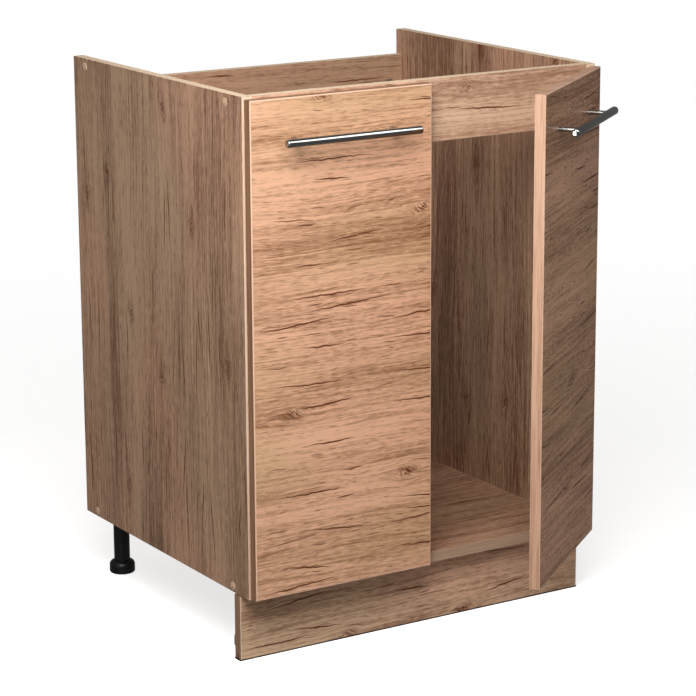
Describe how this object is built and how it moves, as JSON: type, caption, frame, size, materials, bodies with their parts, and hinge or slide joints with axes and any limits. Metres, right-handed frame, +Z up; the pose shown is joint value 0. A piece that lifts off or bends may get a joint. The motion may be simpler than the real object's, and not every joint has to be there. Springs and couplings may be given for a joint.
{
  "type": "sink base cabinet",
  "caption": "Frameless sink base cabinet with an open top, upright rails, hinged doors with bar handles, levelling legs and a clip-on plinth.",
  "frame": {"origin": "on the floor at mid-width, under the middle of the plinth board's thickness, at the underside of its seal", "axes": "+X to the right seen from the front, +Y towards the wall, +Z up. The left door is shut at rest and the right door stands open by 38 degrees."},
  "size_m": [0.6028, 0.7116, 0.82],
  "materials": {
    "side_board": "melamine-faced chipboard, oak grain upright, matt",
    "rail_board": "melamine-faced chipboard, oak grain across, matt",
    "edge_band": "pale oak edge band, matt",
    "door_board": "melamine-faced chipboard, rustic oak grain across, matt",
    "plinth_board": "melamine-faced chipboard, oak grain across, matt",
    "dowel_wood": "beech, fluted",
    "zinc_steel": "zinc-plated steel",
    "zinc_casting": "zinc die casting, satin",
    "hinge_steel": "nickel-plated pressed steel",
    "handle_chrome": "polished chrome over steel",
    "cap_plastic": "beige moulded plastic",
    "leg_plastic": "black moulded plastic",
    "seal_plastic": "dark brown flexible plastic",
    "bumper_plastic": "clear soft plastic"
  },
  "bodies": {
    "carcass": {"left_side_panel": "side_board", "right_side_panel": "side_board", "bottom_panel": "side_board", "front_rail": "rail_board", "rear_rail": "side_board", "side_edge_bands": "edge_band", "bottom_edge_band": "edge_band", "front_rail_edge_band": "edge_band", "rail_dowels": "dowel_wood", "bottom_dowels": "dowel_wood", "cam_bolts": "zinc_steel", "cam_locks": "zinc_casting", "confirmat_screws": "zinc_steel", "left_screw_caps": "cap_plastic", "right_screw_caps": "cap_plastic", "plinth_board": "plinth_board", "plinth_seal": "seal_plastic", "leg_sockets": "leg_plastic", "leg_columns": "leg_plastic", "leg_screws": "zinc_steel", "plinth_clips": "leg_plastic", "plinth_clip_tracks": "leg_plastic", "plinth_clip_screws": "zinc_steel", "left_hinge_arms": "hinge_steel", "right_hinge_arms": "hinge_steel", "left_hinge_plates": "zinc_casting", "right_hinge_plates": "zinc_casting", "hinge_plate_screws": "zinc_steel", "hinge_arm_screws": "zinc_steel"},
    "left_door": {"left_door_panel": "door_board", "left_door_edge_bands": "edge_band", "left_hinge_cups": "hinge_steel", "left_hinge_pins": "hinge_steel", "left_cup_screws": "zinc_steel", "left_handle_bar": "handle_chrome", "left_handle_posts": "handle_chrome", "left_handle_screws": "zinc_steel", "left_door_bumpers": "bumper_plastic"},
    "right_door": {"right_door_panel": "door_board", "right_door_edge_bands": "edge_band", "right_hinge_cups": "hinge_steel", "right_hinge_pins": "hinge_steel", "right_cup_screws": "zinc_steel", "right_handle_bar": "handle_chrome", "right_handle_posts": "handle_chrome", "right_handle_screws": "zinc_steel", "right_door_bumpers": "bumper_plastic"},
    "front_left_foot": {"front_left_foot": "leg_plastic"},
    "rear_left_foot": {"rear_left_foot": "leg_plastic"},
    "front_right_foot": {"front_right_foot": "leg_plastic"},
    "rear_right_foot": {"rear_right_foot": "leg_plastic"}
  },
  "joints": [
    {"name": "left_door_hinge", "type": "hinge", "parent": "carcass", "child": "left_door", "pos_m": [-0.2915, -0.0461, 0.46], "axis": [0, 0, -1], "range_deg": [0, 95]},
    {"name": "right_door_hinge", "type": "hinge", "parent": "carcass", "child": "right_door", "pos_m": [0.2915, -0.0461, 0.46], "axis": [0, 0, 1], "range_deg": [-38, 57]},
    {"name": "front_left_foot_level", "type": "slide", "parent": "carcass", "child": "front_left_foot", "axis": [0, 0, -1], "range_m": [0, 0.02]},
    {"name": "rear_left_foot_level", "type": "slide", "parent": "carcass", "child": "rear_left_foot", "axis": [0, 0, -1], "range_m": [0, 0.02]},
    {"name": "front_right_foot_level", "type": "slide", "parent": "carcass", "child": "front_right_foot", "axis": [0, 0, -1], "range_m": [0, 0.02]},
    {"name": "rear_right_foot_level", "type": "slide", "parent": "carcass", "child": "rear_right_foot", "axis": [0, 0, -1], "range_m": [0, 0.02]}
  ]
}
